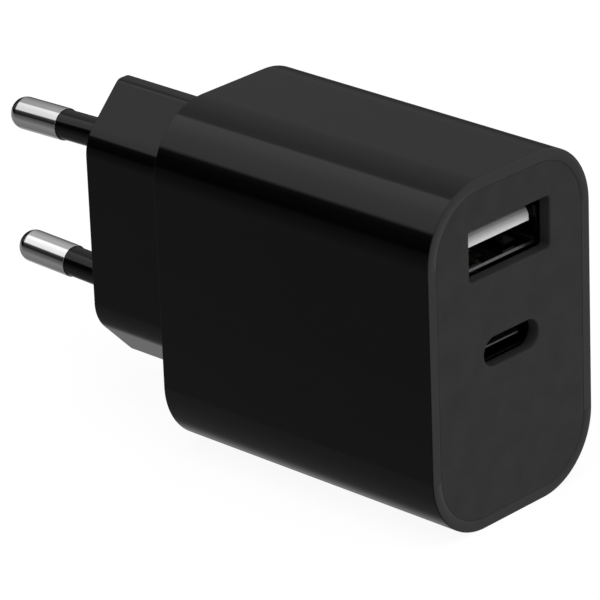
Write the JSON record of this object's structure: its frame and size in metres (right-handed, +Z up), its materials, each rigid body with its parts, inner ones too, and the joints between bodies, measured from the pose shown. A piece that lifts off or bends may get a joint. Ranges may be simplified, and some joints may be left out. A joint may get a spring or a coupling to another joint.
{
  "type": "usb wall charger",
  "caption": "Black mains wall charger: upright rounded body, flat plug with round pins behind, USB-A and USB-C ports in the front panel.",
  "frame": {"origin": "middle of the plug face, halfway between the two pins", "axes": "+Y out of the plug face along the pins, towards the wall; the ports face -Y; +Z up, with the USB-A port above the USB-C port; +X to the right as seen from the ports"},
  "size_m": [0.0274, 0.0796, 0.0428],
  "materials": {
    "shell_plastic": "glossy black moulded polycarbonate with faint flow and handling marks",
    "panel_plastic": "black polycarbonate with a fine satin face",
    "pin_metal": "bright nickel-plated brass with fine lengthwise wear",
    "sleeve_plastic": "black moulded nylon",
    "retainer_plastic": "off-white moulded nylon",
    "strip_metal": "phosphor bronze strip, bright",
    "board": "green solder mask over glass-epoxy laminate",
    "ferrite": "ground dark grey ferrite",
    "bobbin_plastic": "black phenolic moulding",
    "tinned_lead": "tinned copper wire",
    "copper_wire": "enamelled copper wire",
    "winding_tape": "yellow polyester tape",
    "capacitor_sleeve": "dark blue shrink sleeve over an aluminium can",
    "capacitor_can": "bare aluminium can",
    "blue_epoxy": "blue dipped epoxy",
    "choke_ferrite": "green coated ferrite ring",
    "fuse_body": "cream ceramic tube with tinned caps",
    "green_epoxy": "green dipped epoxy",
    "package_black": "black moulded epoxy package",
    "package_white": "white moulded package",
    "chip_tan": "tan ceramic with tinned ends",
    "chip_black": "black coated ceramic with tinned ends",
    "solder": "bright solder",
    "insulating_card": "cream insulating card",
    "connector_steel": "nickel-plated steel sheet",
    "insulator_white": "white moulded nylon",
    "insulator_black": "black moulded nylon",
    "contact_gold": "gold-flashed copper alloy"
  },
  "bodies": {
    "charger": {"body_shell": "shell_plastic", "front_panel": "panel_plastic", "pin_upper": "pin_metal", "pin_lower": "pin_metal", "sleeve_upper": "sleeve_plastic", "sleeve_lower": "sleeve_plastic", "pin_retainer": "retainer_plastic", "mains_contact_upper": "strip_metal", "mains_contact_lower": "strip_metal", "main_board": "board", "port_board": "board", "transformer_core": "ferrite", "transformer_bobbin": "bobbin_plastic", "transformer_pins": "tinned_lead", "transformer_winding": "copper_wire", "transformer_tape": "winding_tape", "bulk_capacitor_upper": "capacitor_sleeve", "bulk_capacitor_lower": "capacitor_sleeve", "output_capacitor_upper": "capacitor_can", "output_capacitor_lower": "capacitor_can", "safety_capacitor": "blue_epoxy", "choke_core": "choke_ferrite", "choke_windings": "copper_wire", "fuse": "fuse_body", "thermistor": "green_epoxy", "bridge_rectifier": "package_black", "power_controller": "package_black", "optocoupler": "package_white", "output_rectifier": "package_black", "port_controller": "package_black", "chip_capacitors": "chip_tan", "chip_resistors": "chip_black", "solder_joints": "solder", "insulation_wrap": "insulating_card", "usb_a_shell": "connector_steel", "usb_a_insulator": "insulator_white", "usb_a_tails": "contact_gold", "usb_c_shell": "connector_steel", "usb_c_insulator": "insulator_black", "usb_c_contacts": "contact_gold", "usb_c_ground_plate": "connector_steel"},
    "contact_1": {"usb_a_contact_1": "contact_gold"},
    "contact_2": {"usb_a_contact_2": "contact_gold"},
    "contact_3": {"usb_a_contact_3": "contact_gold"},
    "contact_4": {"usb_a_contact_4": "contact_gold"}
  },
  "joints": [
    {"name": "contact_1_flex", "type": "hinge", "parent": "charger", "child": "contact_1", "pos_m": [-0.0035, -0.0494, 0.01295], "axis": [-1, 0, 0], "range_deg": [0, 4.5], "stiffness_Nm_per_rad": 0.1},
    {"name": "contact_2_flex", "type": "hinge", "parent": "charger", "child": "contact_2", "pos_m": [-0.001, -0.0494, 0.01295], "axis": [-1, 0, 0], "range_deg": [0, 4.5], "stiffness_Nm_per_rad": 0.1},
    {"name": "contact_3_flex", "type": "hinge", "parent": "charger", "child": "contact_3", "pos_m": [0.001, -0.0494, 0.01295], "axis": [-1, 0, 0], "range_deg": [0, 4.5], "stiffness_Nm_per_rad": 0.1},
    {"name": "contact_4_flex", "type": "hinge", "parent": "charger", "child": "contact_4", "pos_m": [0.0035, -0.0494, 0.01295], "axis": [-1, 0, 0], "range_deg": [0, 4.5], "stiffness_Nm_per_rad": 0.1}
  ]
}
